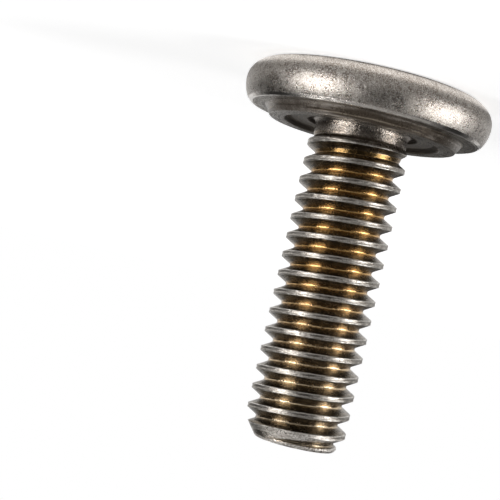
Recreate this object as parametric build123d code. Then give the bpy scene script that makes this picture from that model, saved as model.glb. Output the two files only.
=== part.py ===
from build123d import *
import math
import os

# Ring-projection weld stud: a flat round head with a weld ring under it, a short plain neck and
# a rolled right-hand thread, all one piece. Millimetres, +Z up. The stud stands on its head: the
# origin is the middle of the head's outer face, and the axis runs up to the thread's free end.

# Driving sizes of the thread
THREAD_DIAMETER = 7.49          # over the crests, a 5/16 inch thread that isn't rolled full
THREAD_PITCH = 25.4 / 18        # eighteen threads to the inch
FLANK_ANGLE = 30.0              # each flank against a plane square to the axis, in degrees
CREST_WIDTH = 0.33              # width of the flat on top of the thread
ROOT_WIDTH = 0.21               # width of the flat at the bottom of the thread

# Driving sizes of the shank
SHANK_LENGTH = 24.0             # bearing face of the head to the free end
NECK_STEP = 0.29                # how far the plain neck lies inside the crests
NECK_LENGTH = 1.25              # bearing face to the first rise of the thread
NECK_FILLET = 0.42
CREST_RUN_IN = 0.48             # length over which the crest rises out of the neck
ROOT_RUN_OUT = 1.60             # length over which the root sinks below the neck
TIP_CHAMFER_LENGTH = 1.15       # along the axis
TIP_CHAMFER_DEPTH = 0.85        # square to the axis
TIP_ROUNDING = 0.38
TIP_CROWN = 0.10                # height of the slight dome on the end face

# Driving sizes of the head
HEAD_DIAMETER = 18.36
HEAD_THICKNESS = 3.17           # outer face to bearing face
OUTER_CORNER_RADIUS = 1.60
RIM_BULGE = 0.58                # how far the rim draws in from its widest to the bearing face
BEARING_EDGE_RADIUS = 0.12

# Driving sizes of the weld ring, and of the raised seat and the shallow groove inside it
RING_SETBACK = 1.21             # bearing face's edge to the ring's foot
RING_OUTER_DRAFT = 0.44         # how far the ring's outer wall leans in
RING_CREST_WIDTH = 1.12
RING_INNER_DRAFT = 0.20         # how far the ring's inner wall leans out
RING_HEIGHT = 0.70
RING_EDGE_RADIUS = 0.15
SEAT_HEIGHT = 0.37              # above the bearing face
GROOVE_FLOOR_WIDTH = 0.09       # beside the neck's fillet
GROOVE_DEPTH = 0.26             # below the seat
GROOVE_DRAFT = 0.06             # how far the groove's outer wall leans out

# How far a shape that is only trimmed reaches past what trims it
OVERLAP = 0.30
SPARE_TURNS = 2                 # whole turns of thread at each end

flank_width = (THREAD_PITCH - CREST_WIDTH - ROOT_WIDTH) / 2
thread_depth = flank_width / math.tan(math.radians(FLANK_ANGLE))
thread_radius = THREAD_DIAMETER / 2
root_radius = thread_radius - thread_depth
neck_radius = thread_radius - NECK_STEP
tip_radius = thread_radius - TIP_CHAMFER_DEPTH
groove_floor_radius = neck_radius + NECK_FILLET + GROOVE_FLOOR_WIDTH
groove_radius = groove_floor_radius + GROOVE_DRAFT
head_radius = HEAD_DIAMETER / 2
bearing_radius = head_radius - RIM_BULGE
ring_base_radius = bearing_radius - RING_SETBACK
ring_crest_radius = ring_base_radius - RING_OUTER_DRAFT
ring_bore_radius = ring_crest_radius - RING_CREST_WIDTH
seat_radius = ring_bore_radius - RING_INNER_DRAFT

bearing_z = HEAD_THICKNESS
ring_z = bearing_z + RING_HEIGHT
seat_z = bearing_z + SEAT_HEIGHT
groove_z = seat_z - GROOVE_DEPTH
thread_z = bearing_z + NECK_LENGTH
end_z = bearing_z + SHANK_LENGTH

def past(start, end, distance):
    """The point that lies a distance past the end of a line, measured along the radius."""
    grow = distance / abs(end[0] - start[0])
    return tuple(e + grow * (e - s) for s, e in zip(start, end))

def corner_at(section, corner):
    """The corner of a half section that lies nearest to a radius and a height."""
    return section.vertices().sort_by_distance((*corner, 0))[0]

def make_head_and_neck():
    """The head with its ring and seat, the neck, and the cone that the thread's root rises on."""
    neck_top = (neck_radius, thread_z)
    cone_top = past(neck_top, (root_radius, thread_z + ROOT_RUN_OUT), OVERLAP)
    outer_face = Line((0, 0), (head_radius - OUTER_CORNER_RADIUS, 0))
    corner = TangentArc(
        [outer_face @ 1, (head_radius, OUTER_CORNER_RADIUS)], tangent=(1, 0)
    )
    rim = TangentArc([corner @ 1, (bearing_radius, bearing_z)], tangent=(0, 1))
    underside = Polyline(
        (bearing_radius, bearing_z),
        (ring_base_radius, bearing_z),
        (ring_crest_radius, ring_z),
        (ring_bore_radius, ring_z),
        (seat_radius, seat_z),
        (groove_radius, seat_z),
        (groove_floor_radius, groove_z),
        (neck_radius, groove_z),
        neck_top,
        cone_top,
        (0, cone_top[1]),
        (0, 0),
    )
    section = make_face(outer_face + corner + rim + underside)
    roundings = (
        ((bearing_radius, bearing_z), BEARING_EDGE_RADIUS),
        ((ring_crest_radius, ring_z), RING_EDGE_RADIUS),
        ((neck_radius, groove_z), NECK_FILLET),
    )
    for corner_point, rounding in roundings:
        section = fillet(corner_at(section, corner_point), rounding)
    return revolve(Plane.XZ * section, Axis.Z)

def make_thread_envelope():
    """What the thread is trimmed to: a cone out of the neck, the chamfer and the rounded end."""
    neck_top = (neck_radius, thread_z)
    crest_start = (thread_radius, thread_z + CREST_RUN_IN)
    tip_corner = (tip_radius, end_z - TIP_CROWN)
    chamfer_start = (thread_radius, end_z - TIP_CHAMFER_LENGTH)
    cone_start = past(crest_start, neck_top, OVERLAP)
    outline = Polyline(
        (0, cone_start[1]),
        cone_start,
        past(neck_top, crest_start, OVERLAP),
        past(tip_corner, chamfer_start, OVERLAP),
        tip_corner,
    )
    crown = TangentArc([(0, end_z), tip_corner], tangent=(1, 0))
    axis = Line((0, end_z), (0, cone_start[1]))
    section = make_face(outline + crown + axis)
    section = fillet(corner_at(section, tip_corner), TIP_ROUNDING)
    return revolve(Plane.XZ * section, Axis.Z)

def make_thread_rod():
    """A threaded rod, longer than the thread at both ends: strips between helices, and its ends."""
    profile = (
        (thread_radius, 0),
        (thread_radius, CREST_WIDTH),
        (root_radius, CREST_WIDTH + flank_width),
        (root_radius, THREAD_PITCH - flank_width),
        (thread_radius, THREAD_PITCH),
    )
    start_z = thread_z - SPARE_TURNS * THREAD_PITCH
    turns = math.ceil((end_z - start_z) / THREAD_PITCH) + SPARE_TURNS
    top_z = start_z + turns * THREAD_PITCH

    def helix(radius, height):
        return Edge.make_helix(THREAD_PITCH, THREAD_PITCH, radius, center=(0, 0, height))

    def end_faces(height):
        axis = Edge.make_line((0, 0, height), (0, 0, height + THREAD_PITCH))
        step = Wire.make_polygon(
            [axis @ 0, *(Vector(r, 0, height + z) for r, z in profile), axis @ 1], close=True
        )
        return [Face(step), Face.make_surface_from_curves(axis, helix(thread_radius, height))]

    strips = [
        Face.make_surface_from_curves(
            helix(lower[0], start_z + turn * THREAD_PITCH + lower[1]),
            helix(upper[0], start_z + turn * THREAD_PITCH + upper[1]),
        )
        for turn in range(turns)
        for lower, upper in zip(profile, profile[1:])
    ]
    return Solid(Shell(strips + end_faces(start_z) + end_faces(top_z)))

def make_weld_stud():
    """The finished stud, one solid: head, neck and thread."""
    thread = make_thread_rod() & make_thread_envelope()
    stud = make_head_and_neck() + thread
    stud.label = "weld_stud"
    return stud

os.makedirs("parts", exist_ok=True)
weld_stud = make_weld_stud()
export_step(weld_stud, "parts/weld_stud.step")
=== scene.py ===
import math
import bmesh
import bpy
from mathutils import Matrix, Vector, noise
from types import SimpleNamespace


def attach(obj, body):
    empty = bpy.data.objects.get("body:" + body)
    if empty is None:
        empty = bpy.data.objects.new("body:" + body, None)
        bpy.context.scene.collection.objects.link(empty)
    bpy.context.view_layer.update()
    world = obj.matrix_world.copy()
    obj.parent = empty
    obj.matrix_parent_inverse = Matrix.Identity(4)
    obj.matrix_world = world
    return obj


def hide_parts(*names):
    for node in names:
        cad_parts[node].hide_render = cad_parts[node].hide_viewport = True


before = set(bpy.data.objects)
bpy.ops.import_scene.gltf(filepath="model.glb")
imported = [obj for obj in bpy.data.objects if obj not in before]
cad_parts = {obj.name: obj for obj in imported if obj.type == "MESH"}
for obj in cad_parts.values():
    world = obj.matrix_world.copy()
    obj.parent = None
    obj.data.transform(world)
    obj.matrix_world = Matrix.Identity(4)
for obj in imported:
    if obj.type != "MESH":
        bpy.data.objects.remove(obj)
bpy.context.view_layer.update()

# Sizes below are millimetres, as the solids have them; meshes are made in metres.
MM = 0.001

# The thread
THREAD_RADIUS = 3.745
ROOT_RADIUS = 2.9906
PITCH = 25.4 / 18
CREST_WIDTH = 0.33
FLANK_WIDTH = 0.4356
CREST_ROUNDING = 0.06
ROOT_ROUNDING = 0.18
SEAM_DEPTH = 0.022              # the rolled crest closes over a shallow seam
FLANK_PARTS = (0.33, 0.66)      # where the flank has extra points, as parts of its width
PROFILE_SEGMENTS = 3            # in each rounding of a pitch
STEPS_PER_TURN = 144
SPARE_TURNS_LOW = 2             # whole turns wound past each end and then cut off
SPARE_TURNS_HIGH = 1

# The shank, by height above the floor
BEARING_Z = 3.17
NECK_RADIUS = 3.455
THREAD_Z = 4.42
FULL_CREST_Z = 4.90
FULL_ROOT_Z = 6.02
END_Z = 27.17
CREST_PHASE_Z = 1.7628          # height of the crest's middle on the +X side, less whole turns
CHAMFER_LENGTH = 1.15
CHAMFER_DEPTH = 0.85
CHAMFER_SHIFT = Vector((0.137, -0.060))    # the chamfer sits a little to one side
TIP_CROWN = 0.10
TIP_ROUNDING = 0.38
TIP_SEGMENTS = 8
TIP_RINGS = (2.4, 2.0, 1.5, 1.0, 0.5)       # radii of the points on the domed end face
TIP_CLEARANCE = 0.015           # how far inside the root the thread is cut off at the tip
TIP_STEP = 0.004                # least step from that cut to the tip's next point
NECK_TOP_Z = THREAD_Z - 0.12    # a point that only gives the neck its direction
NECK_CUT_Z = THREAD_Z - 0.06    # where the thread's skin ends and the neck's begins

# The head
HEAD_RADIUS = 9.17
CORNER_RADIUS = 1.60
RIM_BULGE = 0.58
RING_BASE_RADIUS = 7.39
RING_CREST_RADIUS = 6.95
RING_BORE_RADIUS = 5.83
SEAT_RADIUS = 5.63
RING_Z = 3.87
SEAT_Z = 3.54
GROOVE_Z = 3.28
GROOVE_RADIUS = 4.06
GROOVE_FLOOR_RADIUS = 4.02
NECK_FILLET = 0.54
EDGE_ROUNDING = 0.20            # between the rim and the bearing face
GROOVE_FLOOR_ROUNDING = 0.03
GROOVE_LIP_ROUNDING = 0.04
SEAT_ROUNDING = 0.08
RING_BORE_ROUNDING = 0.08
RING_CREST_ROUNDING = 0.14
RING_FOOT_ROUNDING = 0.10
EDGE_SEGMENTS = 6
RIM_SEGMENTS = 14
OUTER_FACE_RINGS = (5.5, 3.0, 1.0)          # radii of the points on the outer face

# Wear, all of it inwards
WAVE_DEPTH = 0.010              # slow unevenness of the forged skin
WAVES_PER_MM = 1.1
NICK_DEPTH = 0.035              # knocks on the crest
NICK_GAIN = 1.8                 # noise past the threshold is drawn out by this much
NICK_THRESHOLD = 0.25           # the noise has to pass it for a knock
NICKS_ROUND = 6                 # how fine the knocks are round the stud
NICKS_UP = 3                    # and along it, per mm
CREST_SKIN = 0.06               # depth under the crest that takes knocks
FACE_MARGINS = (0.3, 0.05)      # heights at the outer and the end face that stay true

# Lengths in metres, for the mesh tools
MERGE_DISTANCE = 0.0005 * MM
CUT_DISTANCE = 0.00001 * MM
LOOP_DISTANCE = 0.001 * MM

# Where the camera stands, where it looks and which way is right in its picture
CAMERA_PLACE = Vector((33.742, 91.134, 16.965)) * MM
CAMERA_LOOK = Vector((-0.40509, -0.91375, -0.03107))
CAMERA_RIGHT = Vector((0.89395, -0.38873, -0.22302))
CAMERA_LENS = 95.2
CAMERA_SENSOR = 36
CAMERA_TURN = 69.7              # degrees round the stud from +X

# The studio: its front, where the camera stands, and the right-hand side of the picture
STUDIO_FRONT = (math.cos(math.radians(CAMERA_TURN)), math.sin(math.radians(CAMERA_TURN)), 0)
STUDIO_RIGHT = (math.sin(math.radians(CAMERA_TURN)), -math.cos(math.radians(CAMERA_TURN)), 0)
STUD_MIDDLE = Vector((0, 0, 14)) * MM
FLOOR_HALF_WIDTH = 2.0          # metres
SOFTBOXES = (
    # name, degrees round from the camera, height, distance, width, length, watts
    ("left_softbox", 48, 24, 160, 46, 150, 0.255),
    ("right_softbox", -74, 24, 160, 48, 150, 0.235),
    ("high_softbox", 127, 164, 68, 45, 50, 0.026),
)

# Colours of the steel
SKIN_DARK = (0.33, 0.285, 0.245, 1)
SKIN_PALE = (0.57, 0.52, 0.47, 1)
SKIN_GRAIN = (0.24, 0.20, 0.17, 1)
RIM_BRIGHT = (0.80, 0.77, 0.73, 1)
RIM_DARK = (0.20, 0.165, 0.135, 1)
NECK_DARK = (0.20, 0.165, 0.13, 1)
# Thread flanks: partly oil, partly painted shade that darkens the thread's grooves
FLANK_OIL_AND_SHADE_DARK = (0.065, 0.051, 0.036, 1)
FLANK_OIL_AND_SHADE_PALE = (0.30, 0.250, 0.185, 1)
STAIN_NEAR_HEAD = (0.72, 0.43, 0.155, 1)
STAIN_NEAR_END = (0.80, 0.63, 0.42, 1)
FIRST_ROOT_BROWN = (0.17, 0.105, 0.04, 1)
CREST_DARK = (0.20, 0.175, 0.148, 1)
CREST_PALE = (0.69, 0.65, 0.595, 1)
CREST_SPECK = (0.13, 0.11, 0.09, 1)
# Crest shoulders: partly wear, partly a painted highlight
SHOULDER_WEAR_AND_HIGHLIGHT = (0.80, 0.77, 0.72, 1)
# Painted shade under the head, on its walls and in the hollow
UNDERSIDE_PAINTED_SHADE = (0.078, 0.060, 0.043, 1)
# Painted shade deep in the hollow under the head
HOLLOW_PAINTED_SHADE = (0.06, 0.05, 0.04, 1)
TURNED_DARK = (0.20, 0.17, 0.142, 1)
TURNED_PALE = (0.50, 0.455, 0.40, 1)
TURNED_SPECK = (0.12, 0.095, 0.07, 1)
LINE_DARK = (0.07, 0.052, 0.036, 1)
LINE_PALE = (0.46, 0.39, 0.30, 1)
# The edge above the rim: partly polished wear, partly a painted highlight line
EDGE_WEAR_AND_HIGHLIGHT = (0.78, 0.74, 0.69, 1)
# The end: partly a worn pattern, partly painted light where it mirrors the dark above
END_WEAR_AND_LIGHT = (0.88, 0.84, 0.79, 1)
WHITE = (1, 1, 1, 1)
FLOOR_GREY = (0.65, 0.65, 0.65, 1)


# ---- the stud's shape -------------------------------------------------------------------

def rounded(corners, segments=4):
    """An open outline of (radius, height) points, from corners that may each name a rounding."""
    points = [Vector(corners[0][:2])]
    for before, corner, after in zip(corners, corners[1:], corners[2:]):
        here = Vector(corner[:2])
        rounding = corner[2] if len(corner) > 2 else 0
        if not rounding:
            points.append(here)
            continue
        back = (Vector(before[:2]) - here).normalized()
        ahead = (Vector(after[:2]) - here).normalized()
        half = back.angle(ahead) / 2
        centre = here + (back + ahead).normalized() * rounding / math.sin(half)
        start = here + back * rounding / math.tan(half)
        stop = here + ahead * rounding / math.tan(half)
        for i in range(segments + 1):
            spoke = (start - centre).lerp(stop - centre, i / segments)
            points.append(centre + spoke.normalized() * rounding)
    points.append(Vector(corners[-1][:2]))
    return points


def arc(centre, radius, first, last, segments):
    """Points of an arc, from its centre, its radius and its first and last angle in degrees."""
    turns = (math.radians(first + (last - first) * i / segments) for i in range(segments + 1))
    return [
        Vector((centre[0] + radius * math.cos(t), centre[1] + radius * math.sin(t))) for t in turns
    ]


def tip_outline():
    """From well before the chamfer to the middle of the slightly domed end face."""
    tip_radius = THREAD_RADIUS - CHAMFER_DEPTH
    chamfer = rounded([
        (THREAD_RADIUS + CHAMFER_DEPTH, END_Z - TIP_CROWN - 2 * CHAMFER_LENGTH),
        (tip_radius, END_Z - TIP_CROWN, TIP_ROUNDING),
        (tip_radius - 1, END_Z - TIP_CROWN * 0.45),     # gives the end face its direction
    ], TIP_SEGMENTS)[:-1]
    dome = [Vector((r, END_Z - TIP_CROWN * (r / tip_radius) ** 2)) for r in TIP_RINGS]
    return chamfer + dome


def head_outline():
    """From the neck down over the seat, the ring and the rim to the outer face's middle."""
    bearing_radius = HEAD_RADIUS - RIM_BULGE
    rim_height = BEARING_Z - CORNER_RADIUS
    bulge = (RIM_BULGE ** 2 + rim_height ** 2) / (2 * RIM_BULGE)
    lean = math.degrees(math.asin(rim_height / bulge))
    underside = rounded([
        (NECK_RADIUS, NECK_TOP_Z),
        (NECK_RADIUS, GROOVE_Z, NECK_FILLET),
        (GROOVE_FLOOR_RADIUS, GROOVE_Z, GROOVE_FLOOR_ROUNDING),
        (GROOVE_RADIUS, SEAT_Z, GROOVE_LIP_ROUNDING),
        (SEAT_RADIUS, SEAT_Z, SEAT_ROUNDING),
        (RING_BORE_RADIUS, RING_Z, RING_BORE_ROUNDING),
        (RING_CREST_RADIUS, RING_Z, RING_CREST_ROUNDING),
        (RING_BASE_RADIUS, BEARING_Z, RING_FOOT_ROUNDING),
        (bearing_radius - EDGE_ROUNDING * 1.2, BEARING_Z),
    ])[1:]
    edge_middle = (bearing_radius - EDGE_ROUNDING * 0.75, BEARING_Z - EDGE_ROUNDING)
    edge = arc(edge_middle, EDGE_ROUNDING, 90, lean * 0.9, EDGE_SEGMENTS)
    rim = arc((HEAD_RADIUS - bulge, CORNER_RADIUS), bulge, lean * 0.88, 0, RIM_SEGMENTS)
    corner_middle = (HEAD_RADIUS - CORNER_RADIUS, CORNER_RADIUS)
    corner = arc(corner_middle, CORNER_RADIUS, 0, -90, RIM_SEGMENTS)[1:]
    return underside + edge + rim + corner + [Vector((r, 0)) for r in OUTER_FACE_RINGS]


def radius_at(outline, height):
    """The radius of an outline at a height, along the stretch that climbs steadily."""
    for low, high in zip(outline, outline[1:]):
        if low.y <= height <= high.y and high.y > low.y:
            return low.x + (high.x - low.x) * (height - low.y) / (high.y - low.y)
    return outline[0].x if height < outline[0].y else outline[-1].x


def pitch_profile():
    """One pitch of the thread's outline as (height, radius), from crest middle to crest middle."""
    half = CREST_WIDTH / 2
    depth = THREAD_RADIUS - ROOT_RADIUS
    down = rounded([
        (0.0, THREAD_RADIUS - SEAM_DEPTH),                  # the seam's bottom, side and lip
        (half * 0.35, THREAD_RADIUS - SEAM_DEPTH * 0.6),
        (half * 0.62, THREAD_RADIUS),
        (half, THREAD_RADIUS, CREST_ROUNDING),
        *((half + FLANK_WIDTH * part, THREAD_RADIUS - depth * part) for part in FLANK_PARTS),
        (half + FLANK_WIDTH, ROOT_RADIUS, ROOT_ROUNDING),
        (PITCH / 2, ROOT_RADIUS),
    ], PROFILE_SEGMENTS)
    up = [Vector((PITCH - p.x, p.y)) for p in reversed(down[1:-1])]
    return down + up


def wind_thread():
    """The thread as one skin: an upright line of pitches, spun one turn while it climbs a pitch."""
    bm = bmesh.new()
    profile = pitch_profile()
    first = math.floor((THREAD_Z - CREST_PHASE_Z) / PITCH) - SPARE_TURNS_LOW
    last = math.ceil((END_Z - CREST_PHASE_Z) / PITCH) + SPARE_TURNS_HIGH
    line = []
    for turn in range(first, last):
        for point in profile:
            height = CREST_PHASE_Z + turn * PITCH + point.x
            line.append(bm.verts.new(Vector((point.y, 0, height)) * MM))
    edges = [bm.edges.new(pair) for pair in zip(line, line[1:])]
    bmesh.ops.spin(
        bm, geom=line + edges, cent=(0, 0, 0), axis=(0, 0, 1), angle=math.tau,
        dvec=(0, 0, PITCH * MM / STEPS_PER_TURN), steps=STEPS_PER_TURN,
        use_merge=False, use_normal_flip=False, use_duplicate=False,
    )
    bmesh.ops.remove_doubles(bm, verts=bm.verts, dist=MERGE_DISTANCE)
    return bm


def trim_thread(bm, tip):
    """Brings each point of the thread inside its run-in and the chamfer, and out to its run-out."""
    for vert in bm.verts:
        height = vert.co.z / MM
        radius = vert.co.xy.length / MM
        rise = min(max((height - THREAD_Z) / (FULL_CREST_Z - THREAD_Z), 0), 1)
        sink = min(max((height - THREAD_Z) / (FULL_ROOT_Z - THREAD_Z), 0), 1)
        crest_limit = NECK_RADIUS + (THREAD_RADIUS - NECK_RADIUS) * rise
        root_limit = NECK_RADIUS + (ROOT_RADIUS - NECK_RADIUS) * sink
        aside = vert.co.xy.normalized().dot(CHAMFER_SHIFT)
        new = min(max(radius, root_limit), crest_limit, radius_at(tip, height) + aside)
        vert.co.xy *= new / radius


def knock_about(bm):
    """Small unevenness of the worn surface, always inwards: waves all over, nicks on the crest."""
    bm.normal_update()
    moves = []
    for vert in bm.verts:
        place = vert.co / MM
        if place.z < FACE_MARGINS[0] or place.z > END_Z - FACE_MARGINS[1]:
            continue
        wave = 0.5 + 0.5 * noise.noise(place * WAVES_PER_MM)
        depth = WAVE_DEPTH * wave
        if place.z > FULL_CREST_Z and place.xy.length > THREAD_RADIUS - CREST_SKIN:
            turn = math.atan2(place.y, place.x)
            along = Vector((
                math.cos(turn) * NICKS_ROUND, math.sin(turn) * NICKS_ROUND, place.z * NICKS_UP,
            ))
            depth += NICK_DEPTH * max(noise.noise(along) - NICK_THRESHOLD, 0) * NICK_GAIN
        moves.append((vert, vert.normal * -depth * MM))
    for vert, move in moves:
        vert.co += move


def cut_off(bm, height, keep):
    """Cuts the thread square to its axis and gives the open loop's edges."""
    bmesh.ops.bisect_plane(
        bm, geom=bm.verts[:] + bm.edges[:] + bm.faces[:], dist=CUT_DISTANCE,
        plane_co=(0, 0, height * MM), plane_no=(0, 0, keep),
        clear_inner=True, clear_outer=False,
    )
    return [
        e for e in bm.edges
        if e.is_boundary and all(abs(v.co.z - height * MM) < LOOP_DISTANCE for v in e.verts)
    ]


def carry_on(bm, edges, outline, shift=Vector((0, 0))):
    """Extrudes an open loop ring by ring along an outline, and closes it in the middle."""
    for point in outline:
        grown = bmesh.ops.extrude_edge_only(bm, edges=edges)["geom"]
        edges = [g for g in grown if isinstance(g, bmesh.types.BMEdge) and g.is_boundary]
        for vert in {v for e in edges for v in e.verts}:
            around = (vert.co.xy / MM - shift).normalized() * point.x + shift
            vert.co = Vector((around.x, around.y, point.y)) * MM
    centre = bmesh.ops.extrude_edge_only(bm, edges=edges)["geom"]
    verts = [g for g in centre if isinstance(g, bmesh.types.BMVert)]
    bmesh.ops.pointmerge(bm, verts=verts, merge_co=(shift.x * MM, shift.y * MM, verts[0].co.z))


def make_stud():
    """The whole stud as one closed skin: thread, then tip, then neck and head."""
    tip = tip_outline()
    bm = wind_thread()
    trim_thread(bm, tip)

    # The thread is cut where the shifted tip lies just inside its root all round
    tip_cut = next(p for p in tip if p.x < ROOT_RADIUS - CHAMFER_SHIFT.length - TIP_CLEARANCE)
    tip_loop = cut_off(bm, tip_cut.y, -1)
    carry_on(bm, tip_loop, [p for p in tip if p.x < tip_cut.x - TIP_STEP], CHAMFER_SHIFT)
    neck_loop = cut_off(bm, NECK_CUT_Z, 1)
    carry_on(bm, neck_loop, head_outline())
    bmesh.ops.recalc_face_normals(bm, faces=bm.faces)
    knock_about(bm)
    mesh = bpy.data.meshes.new("stud_skin")
    bm.to_mesh(mesh)
    bm.free()
    mesh.shade_smooth()
    stud = bpy.data.objects.new("stud_skin", mesh)
    bpy.context.scene.collection.objects.link(stud)
    return stud


# ---- finishes ---------------------------------------------------------------------------

class Nodes:
    """Short ways to add nodes to a material's or the world's tree and join them."""

    def __init__(self, tree):
        self.tree = tree
        tree.nodes.clear()

    def add(self, kind, inputs=(), **settings):
        node = self.tree.nodes.new(kind)
        for name, value in settings.items():
            setattr(node, name, value)
        for name, value in dict(inputs).items():
            self.join(value, node.inputs[name])
        return node

    def join(self, value, socket):
        if isinstance(value, bpy.types.NodeSocket):
            self.tree.links.new(value, socket)
        else:
            socket.default_value = value

    def math(self, operation, *values):
        node = self.add("ShaderNodeMath", operation=operation)
        for i, value in enumerate(values):
            self.join(value, node.inputs[i])
        return node.outputs[0]

    def chain(self, operation, first, *others):
        """The same sum done with each further value in turn."""
        for other in others:
            first = self.math(operation, first, other)
        return first

    def plus(self, *values):
        return self.chain("ADD", *values)

    def minus(self, *values):
        return self.chain("SUBTRACT", *values)

    def times(self, *values):
        return self.chain("MULTIPLY", *values)

    def ramp(self, value, low, high, to_low=0.0, to_high=1.0):
        """A smooth step from one value to another as the input goes from low to high."""
        node = self.add("ShaderNodeMapRange", {
            "Value": value, "From Min": low, "From Max": high, "To Min": to_low, "To Max": to_high,
        }, interpolation_type="SMOOTHSTEP")
        return node.outputs["Result"]

    def between(self, value, rise, fall):
        """One between two smooth steps, each given as where it is nothing and where it is full."""
        return self.times(self.ramp(value, *rise), self.ramp(value, *fall))

    def noise(self, vector, scale, detail, roughness):
        node = self.add("ShaderNodeTexNoise", {
            "Vector": vector, "Scale": scale, "Detail": detail, "Roughness": roughness,
        })
        return node.outputs["Fac"]

    def blend(self, factor, first, second):
        node = self.add("ShaderNodeMix", data_type="RGBA")
        self.join(factor, node.inputs[0])
        self.join(first, node.inputs[6])
        self.join(second, node.inputs[7])
        return node.outputs[2]

    def combine(self, x, y, z):
        return self.add("ShaderNodeCombineXYZ", {"X": x, "Y": y, "Z": z}).outputs[0]

    def dot(self, vector, direction):
        """How far a vector reaches in a direction."""
        node = self.add("ShaderNodeVectorMath", {0: vector, 1: direction}, operation="DOT_PRODUCT")
        return node.outputs["Value"]

    def length(self, vector):
        node = self.add("ShaderNodeVectorMath", {0: vector}, operation="LENGTH")
        return node.outputs["Value"]


def stud_places(n):
    """Where a point of the stud lies, in millimetres and in turns."""
    at = SimpleNamespace()
    at.place = n.add("ShaderNodeMapping", {
        "Vector": n.add("ShaderNodeTexCoord").outputs["Object"], "Scale": (1 / MM, 1 / MM, 1 / MM),
    }).outputs[0]
    axes = n.add("ShaderNodeSeparateXYZ", {"Vector": at.place})
    x, y, at.z = axes.outputs[0], axes.outputs[1], axes.outputs[2]
    at.radius = n.math("SQRT", n.plus(n.times(x, x), n.times(y, y)))
    at.round_x = n.math("DIVIDE", x, n.math("MAXIMUM", at.radius, 0.01))
    at.round_y = n.math("DIVIDE", y, n.math("MAXIMUM", at.radius, 0.01))
    turn = n.math("DIVIDE", n.math("ARCTAN2", y, x), math.tau)

    # How far along its pitch a point of the thread lies: 0.5 in the crest's middle, 0 in the root
    climb = n.minus(n.math("DIVIDE", n.minus(at.z, CREST_PHASE_Z), PITCH), turn)
    at.phase = n.math("FRACT", n.plus(climb, 0.5))
    at.off_crest = n.math("ABSOLUTE", n.minus(at.phase, 0.5))
    return at


def stud_zones(n, at):
    """Where each finish lies, from 0 to 1. Each step gives where it starts and where it is full."""
    on = SimpleNamespace()
    z, radius = at.z, at.radius

    # The end: the chamfer, and the end face inside it
    past_start = n.minus(z, END_Z - CHAMFER_LENGTH)
    chamfer_line = n.minus(THREAD_RADIUS, n.times(past_start, CHAMFER_DEPTH / CHAMFER_LENGTH))
    on.end = n.math(
        "MAXIMUM", n.ramp(n.minus(radius, chamfer_line), -0.24, -0.10),
        n.ramp(z, END_Z - 0.42, END_Z - 0.28),
    )
    on.end_face = n.ramp(radius, 2.9, 2.5)

    # The thread
    on.thread = n.times(n.ramp(z, THREAD_Z - 0.1, THREAD_Z + 0.45), n.minus(1, on.end))
    on.crest = n.times(on.thread, n.ramp(at.off_crest, 0.165, 0.120))
    on.shoulder = n.times(on.crest, n.ramp(at.off_crest, 0.080, 0.100))
    on.root = n.times(on.thread, n.ramp(at.off_crest, 0.35, 0.46))
    on.stained = n.times(on.root, n.ramp(z, END_Z - 1.3, END_Z - 2.6, 0.25, 1.0))
    on.first_root = n.times(on.root, n.ramp(z, THREAD_Z + 2.2, THREAD_Z + 1.6))
    on.neck = n.times(n.ramp(z, BEARING_Z, BEARING_Z + 0.1), n.ramp(radius, 3.80, 3.60))

    # The head: its rim, the edge above the rim, and all that lies between that edge and the neck
    on.rim = n.times(n.ramp(z, BEARING_Z + 0.02, BEARING_Z - 0.03), n.ramp(radius, 5.5, 6.5))
    on.edge = n.times(n.ramp(radius, 8.32, 8.42), n.ramp(z, BEARING_Z - 0.26, BEARING_Z - 0.13))
    low_and_high = n.between(
        z, (BEARING_Z - 0.05, BEARING_Z - 0.005), (RING_Z + 0.15, RING_Z + 0.03),
    )
    on.under = n.times(low_and_high, n.ramp(radius, 3.58, 3.75))
    on.hollow = n.times(on.under, n.ramp(radius, 5.88, 5.73))
    on.seat = n.between(radius, (4.08, 4.20), (5.40, 5.28))
    ring_top = n.between(radius, (5.88, 5.95), (6.98, 6.88))
    land = n.ramp(radius, 7.38, 7.50)
    land_and_seat = n.math("MAXIMUM", land, n.times(on.seat, 0.42))
    on.flats = n.times(on.under, n.plus(land_and_seat, n.times(ring_top, 0.60)))
    return on


def steel_patterns(n, at, on):
    """Noises of the steel, from clouds to specks, and some that are drawn out round the stud."""

    def drawn_round(across, fine, fine_round, detail, roughness):
        place = n.combine(
            n.times(across, fine), n.times(at.round_x, fine_round), n.times(at.round_y, fine_round),
        )
        return n.noise(place, 1.0, detail, roughness)

    look = SimpleNamespace()
    look.mottle = n.noise(at.place, 1.7, 5.0, 0.62)
    look.grain = n.noise(at.place, 6.5, 4.0, 0.65)
    look.speck = n.noise(at.place, 13.0, 2.0, 0.5)
    cloud = n.noise(at.place, 0.45, 4.0, 0.6)
    look.cloudy = n.plus(n.times(cloud, 0.4), n.times(look.mottle, 0.6))

    out_and_up = n.plus(at.radius, at.z)
    look.along = drawn_round(at.phase, 22, 5, 5.0, 0.7)
    look.streaks = drawn_round(at.phase, 11, 5, 1.0, 0.4)
    look.bands = drawn_round(out_and_up, 8, 1, 3.0, 0.6)
    look.lines = drawn_round(out_and_up, 17, 1.5, 2.0, 0.5)
    look.along_edge = drawn_round(at.z, 9, 9, 3.0, 0.6)
    look.wiped = n.plus(
        n.times(look.along, n.minus(1, on.end_face)), n.times(look.mottle, on.end_face),
    )
    return look


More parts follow.
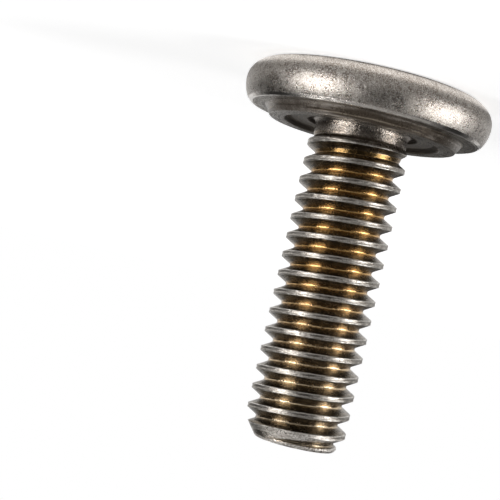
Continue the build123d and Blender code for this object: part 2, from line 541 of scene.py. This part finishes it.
def steel_colour(n, at, on, look):
    """The forged skin with one layer over another, each where its factor says."""
    skin = n.blend(n.ramp(look.cloudy, 0.36, 0.62), SKIN_DARK, SKIN_PALE)
    oil_and_shade = n.blend(n.ramp(look.along, 0.36, 0.64), FLANK_OIL_AND_SHADE_DARK, FLANK_OIL_AND_SHADE_PALE)
    stain = n.blend(n.ramp(at.z, 12, 25), STAIN_NEAR_HEAD, STAIN_NEAR_END)
    knocked = n.blend(n.ramp(look.along, 0.34, 0.66), CREST_DARK, CREST_PALE)
    turning = n.plus(n.times(look.bands, 0.5), n.times(look.mottle, 0.5))
    turned = n.blend(n.ramp(turning, 0.42, 0.56), TURNED_DARK, TURNED_PALE)
    turned = n.blend(n.ramp(look.speck, 0.60, 0.68, 0, 0.8), turned, TURNED_SPECK)
    grainy = n.math("MAXIMUM", look.grain, look.speck)
    # mottle for the end, which is painted lighter
    end_mottle = n.math("MULTIPLY_ADD", look.grain, 0.6, n.times(look.wiped, 0.4))
    layers = (
        (n.ramp(look.grain, 0.44, 0.74, 0, 0.6), SKIN_GRAIN),
        (n.times(on.rim, n.ramp(look.speck, 0.52, 0.62, 0, 0.8)), RIM_BRIGHT),
        (n.times(on.rim, n.ramp(look.speck, 0.46, 0.38, 0, 0.7)), RIM_DARK),
        (n.times(on.neck, n.ramp(look.speck, 0.58, 0.44, 0.20, 0.70)), NECK_DARK),
        # flanks: oil and painted shade in the thread's grooves
        (on.thread, oil_and_shade),
        (n.times(on.stained, n.ramp(look.along, 0.34, 0.58, 0.35, 1.0)), stain),
        (n.times(on.first_root, 0.9), FIRST_ROOT_BROWN),
        (on.crest, knocked),
        (n.times(on.crest, n.ramp(grainy, 0.54, 0.64, 0, 0.8)), CREST_SPECK),
        # painted highlight on the crest shoulders, with wear
        (n.times(on.shoulder, n.ramp(look.along, 0.40, 0.58, 0.1, 0.8)), SHOULDER_WEAR_AND_HIGHLIGHT),
        # painted shade under the head
        (n.times(on.under, n.ramp(look.bands, 0.40, 0.56, 0.50, 1.0)), UNDERSIDE_PAINTED_SHADE),
        # painted shade in the hollow
        (n.times(on.hollow, 0.8), HOLLOW_PAINTED_SHADE),
        (n.times(on.flats, 0.85), turned),
        (n.times(on.under, n.ramp(look.lines, 0.54, 0.62, 0, 0.75)), LINE_DARK),
        (n.times(on.under, n.ramp(look.lines, 0.42, 0.35, 0, 0.5)), LINE_PALE),
        # painted highlight along the edge, with wear
        (n.times(on.edge, n.ramp(look.along_edge, 0.40, 0.62, 0.35, 0.9)), EDGE_WEAR_AND_HIGHLIGHT),
        # painted light on the end, over a worn pattern
        (n.times(on.end, n.ramp(end_mottle, 0.42, 0.58, 0.05, 0.9)), END_WEAR_AND_LIGHT),
    )
    for where, colour in layers:
        skin = n.blend(where, skin, colour)
    return skin


def steel_roughness(n, on, look):
    """Duller on crests, end and grain, glossier on edge, neck and stained roots, dull in the
    hollow, where shade is painted.
    """
    duller = n.plus(
        n.ramp(look.cloudy, 0.35, 0.65, 0.20, 0.30), n.times(on.rim, 0.02),
        n.plus(n.times(on.crest, 0.08), n.times(on.end, 0.08)),
        n.times(n.ramp(look.grain, 0.4, 0.6), 0.05),
    )
    glossier = n.minus(
        duller, n.times(on.edge, 0.15),
        n.times(on.root, n.ramp(look.mottle, 0.40, 0.58, 0.11, -0.02)), n.times(on.neck, 0.04),
    )
    shaded_hollow = n.minus(on.hollow, n.times(on.hollow, on.seat, 0.8))
    return n.plus(glossier, n.times(shaded_hollow, 0.50))


def steel_metal(n, on):
    """All metal, but less so in the hollow and under the head, where shade is painted, and less so
    on the end.
    """
    shaded_under = n.minus(on.under, n.times(on.flats, 0.9))
    return n.minus(
        1, n.times(shaded_under, n.plus(0.40, n.times(on.hollow, 0.35))), n.times(on.end, 0.30),
    )


def steel_relief(n, on, look):
    """Slow unevenness first, then grain, turned bands under the head and streaks on the thread."""
    uneven = n.add("ShaderNodeBump", {
        "Strength": n.plus(0.15, n.times(on.rim, 0.30)), "Distance": 0.06 * MM,
        "Height": look.mottle,
    })
    flanks = n.minus(on.thread, on.crest)
    grain = n.times(
        n.plus(n.times(look.grain, 0.35), n.times(look.speck, 0.45)),
        n.minus(1, n.times(flanks, 0.45)),
        n.plus(1.0, n.plus(on.rim, on.neck, n.times(on.end, 0.7))),
    )
    turned = n.times(on.under, n.plus(look.bands, n.times(look.lines, 0.5)), 2.2)
    drawn = n.times(
        n.math("MAXIMUM", on.thread, n.minus(on.end, on.end_face)), look.streaks,
        n.plus(0.2, n.times(n.plus(on.crest, on.end), 0.6)),
    )
    height = n.times(n.plus(grain, turned, drawn), n.minus(1, n.times(on.edge, 0.8)))
    bump = n.add("ShaderNodeBump", {
        "Strength": 0.8, "Distance": 0.03 * MM, "Height": height, "Normal": uneven.outputs[0],
    })
    return bump.outputs[0]


def steel_finish():
    """Cold-formed bare steel: grainy rim, knocked grey crests, flanks darkened by oil and painted
    shade, golden roots, painted highlights on crest shoulders and the rim's edge, painted light on
    the end.
    """
    material = bpy.data.materials.new("bare_steel")
    material.use_nodes = True
    n = Nodes(material.node_tree)
    at = stud_places(n)
    on = stud_zones(n, at)
    look = steel_patterns(n, at, on)
    shader = n.add("ShaderNodeBsdfPrincipled", {
        "Base Color": steel_colour(n, at, on, look),
        "Metallic": steel_metal(n, on),
        "Roughness": steel_roughness(n, on, look),
        "Normal": steel_relief(n, on, look),
    })
    n.add("ShaderNodeOutputMaterial", {"Surface": shader.outputs[0]})
    return material


def floor_finish():
    """Pale matt floor that the camera sees white, a little less so near the stud, where its soft
    shadow lies. To the steel's reflections alone it glows behind the stud and in a thin ring under
    the rim, a painted reflection that puts a bright line on the rim's outer corner."""
    material = bpy.data.materials.new("white_sweep")
    material.use_nodes = True
    n = Nodes(material.node_tree)
    matt = n.add("ShaderNodeBsdfDiffuse", {"Color": FLOOR_GREY})
    path = n.add("ShaderNodeLightPath")
    place = n.add("ShaderNodeTexCoord").outputs["Object"]
    reach = n.length(place)
    behind = n.ramp(n.dot(place, STUDIO_FRONT), -30 * MM, 10 * MM, 0.60, 0.02)
    # a glowing ring under the rim, seen only in reflections: a painted reflection on the rim's
    # corner
    ring = n.between(reach, (8.0 * MM, 8.4 * MM), (9.3 * MM, 9.0 * MM))
    mirrored = n.times(path.outputs["Is Glossy Ray"], n.math("MAXIMUM", behind, ring))
    white = n.ramp(reach, 20 * MM, 80 * MM, 0.66, 1.0)
    level = n.plus(n.times(path.outputs["Is Camera Ray"], white), mirrored)
    glow = n.add("ShaderNodeEmission", {"Color": WHITE, "Strength": level})
    both = n.add("ShaderNodeAddShader", {0: matt.outputs[0], 1: glow.outputs[0]})
    n.add("ShaderNodeOutputMaterial", {"Surface": both.outputs[0]})
    return material


# ---- studio -----------------------------------------------------------------------------

def place_camera():
    """The photograph's view, in which the head is at the top."""
    camera = bpy.data.objects.new("camera", bpy.data.cameras.new("camera"))
    camera.data.lens = CAMERA_LENS
    camera.data.sensor_width = CAMERA_SENSOR
    camera.data.clip_start = 1 * MM
    back = -CAMERA_LOOK.normalized()
    right = CAMERA_RIGHT.normalized()
    axes = Matrix((right, back.cross(right), back)).transposed().to_4x4()
    camera.matrix_world = Matrix.Translation(CAMERA_PLACE) @ axes
    bpy.context.scene.collection.objects.link(camera)
    bpy.context.scene.camera = camera


def place_softbox(name, turn, height, distance, width, tall, power):
    """A rectangular lamp that faces the stud, placed by degrees round from the camera."""
    lamp = bpy.data.lights.new(name, "AREA")
    lamp.shape = "RECTANGLE"
    lamp.size = width * MM
    lamp.size_y = tall * MM
    lamp.energy = power
    holder = bpy.data.objects.new(name, lamp)
    angle = math.radians(CAMERA_TURN + turn)
    holder.location = Vector((math.cos(angle) * distance, math.sin(angle) * distance, height)) * MM
    holder.rotation_euler = (holder.location - STUD_MIDDLE).to_track_quat("Z", "Y").to_euler()
    bpy.context.scene.collection.objects.link(holder)


def set_world():
    """White to the camera. The steel mirrors a pale band behind the stud, with a dark card in its
    middle and right, and a dimmer patch overhead. The rest is dark."""
    world = bpy.data.worlds.new("studio")
    bpy.context.scene.world = world
    world.use_nodes = True
    n = Nodes(world.node_tree)
    direction = n.add("ShaderNodeTexCoord").outputs["Generated"]
    toward = n.dot(direction, STUDIO_FRONT)
    aside = n.dot(direction, STUDIO_RIGHT)
    up = n.add("ShaderNodeSeparateXYZ", {"Vector": direction}).outputs[2]
    band = n.times(
        n.ramp(toward, -0.55, -0.90), n.ramp(up, 0.50, 0.20, 0.10, 0.90),
        n.ramp(up, 0, 0.15, 0.6, 1.0),
    )
    card = n.times(n.ramp(toward, -0.88, -0.95), n.ramp(aside, -0.10, -0.04))
    behind = n.times(band, n.minus(1, n.times(card, 0.94)))
    overhead = n.ramp(up, 0.74, 0.88, 0.03, 0.36)
    seen = n.add("ShaderNodeLightPath").outputs["Is Camera Ray"]
    level = n.math("MAXIMUM", n.plus(behind, overhead), seen)
    background = n.add("ShaderNodeBackground", {"Color": WHITE, "Strength": level})
    n.add("ShaderNodeOutputWorld", {"Surface": background.outputs[0]})


def lay_floor():
    """A plain square floor under the head."""
    mesh = bpy.data.meshes.new("floor")
    bm = bmesh.new()
    bmesh.ops.create_grid(bm, x_segments=1, y_segments=1, size=FLOOR_HALF_WIDTH)
    bm.to_mesh(mesh)
    bm.free()
    floor = bpy.data.objects.new("floor", mesh)
    floor.data.materials.append(floor_finish())
    bpy.context.scene.collection.objects.link(floor)


stud = make_stud()
stud.data.materials.append(steel_finish())
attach(stud, "root")
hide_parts("weld_stud")

lay_floor()
place_camera()
set_world()
for softbox in SOFTBOXES:
    place_softbox(*softbox)

bpy.context.scene.view_settings.view_transform = "Standard"
